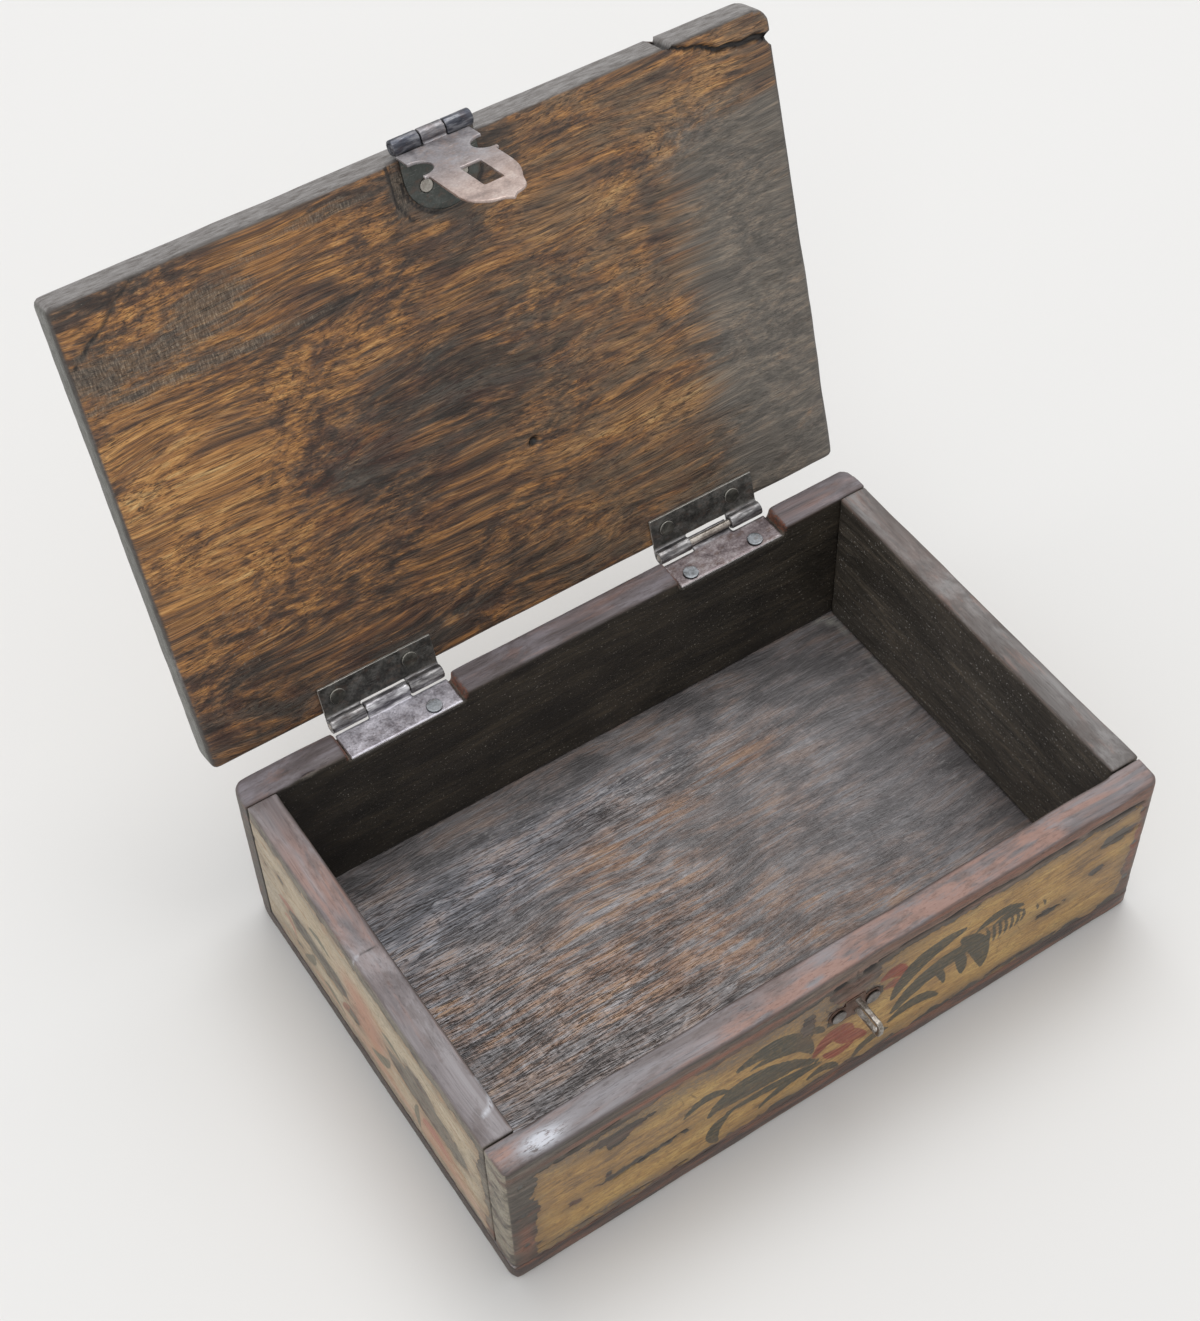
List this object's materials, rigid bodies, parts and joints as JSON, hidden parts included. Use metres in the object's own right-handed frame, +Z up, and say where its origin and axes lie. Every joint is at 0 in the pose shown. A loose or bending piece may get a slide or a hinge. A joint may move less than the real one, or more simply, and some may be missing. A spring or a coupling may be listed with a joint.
{
  "type": "wooden storage box",
  "caption": "Small nailed wooden box with a one-board lid on iron butt hinges, and an iron hasp and staple on its painted front; the lid stands open.",
  "frame": {"origin": "centre of the underside of the bottom board", "axes": "+X along the length to the right seen from the front, +Y to the hinges at the back, +Z up"},
  "size_m": [0.2621, 0.2589, 0.2577],
  "materials": {
    "painted_wood": "old ochre paint with brushed leaves, worn through",
    "wall_wood": "dark bare and stained wood, worn",
    "bottom_wood": "dry open-grained wood",
    "lid_wood": "aged softwood, streaked and stained",
    "dark_iron": "dark oxidised sheet iron",
    "worn_iron": "bare worn iron",
    "nail_iron": "dull nail heads",
    "flap_iron": "pale worn sheet iron"
  },
  "bodies": {
    "box": {"base_board": "bottom_wood", "front_wall": "painted_wood", "back_wall": "wall_wood", "left_wall": "wall_wood", "right_wall": "wall_wood", "front_corner_nails": "dark_iron", "back_corner_nails": "dark_iron", "base_nails": "dark_iron", "left_hinge_box_leaf": "worn_iron", "left_hinge_pin": "worn_iron", "left_hinge_box_nails": "nail_iron", "right_hinge_box_leaf": "worn_iron", "right_hinge_pin": "worn_iron", "right_hinge_box_nails": "nail_iron", "staple_strap": "dark_iron", "staple_loop": "worn_iron", "staple_nails": "nail_iron"},
    "lid": {"lid_board": "lid_wood", "left_hinge_lid_leaf": "dark_iron", "left_hinge_lid_nails": "dark_iron", "right_hinge_lid_leaf": "dark_iron", "right_hinge_lid_nails": "dark_iron", "hasp_plate": "dark_iron", "hasp_pin": "dark_iron", "hasp_rivets": "nail_iron"},
    "hasp": {"hasp_flap": "flap_iron"}
  },
  "joints": [
    {"name": "lid_hinge", "type": "hinge", "parent": "box", "child": "lid", "pos_m": [0, 0.091, 0.0709], "axis": [-1, 0, 0], "range_deg": [-106.9, 76]},
    {"name": "hasp_hinge", "type": "hinge", "parent": "lid", "child": "hasp", "pos_m": [0, 0.14992, 0.24625], "axis": [-1, 0, 0], "range_deg": [0, 200]}
  ]
}
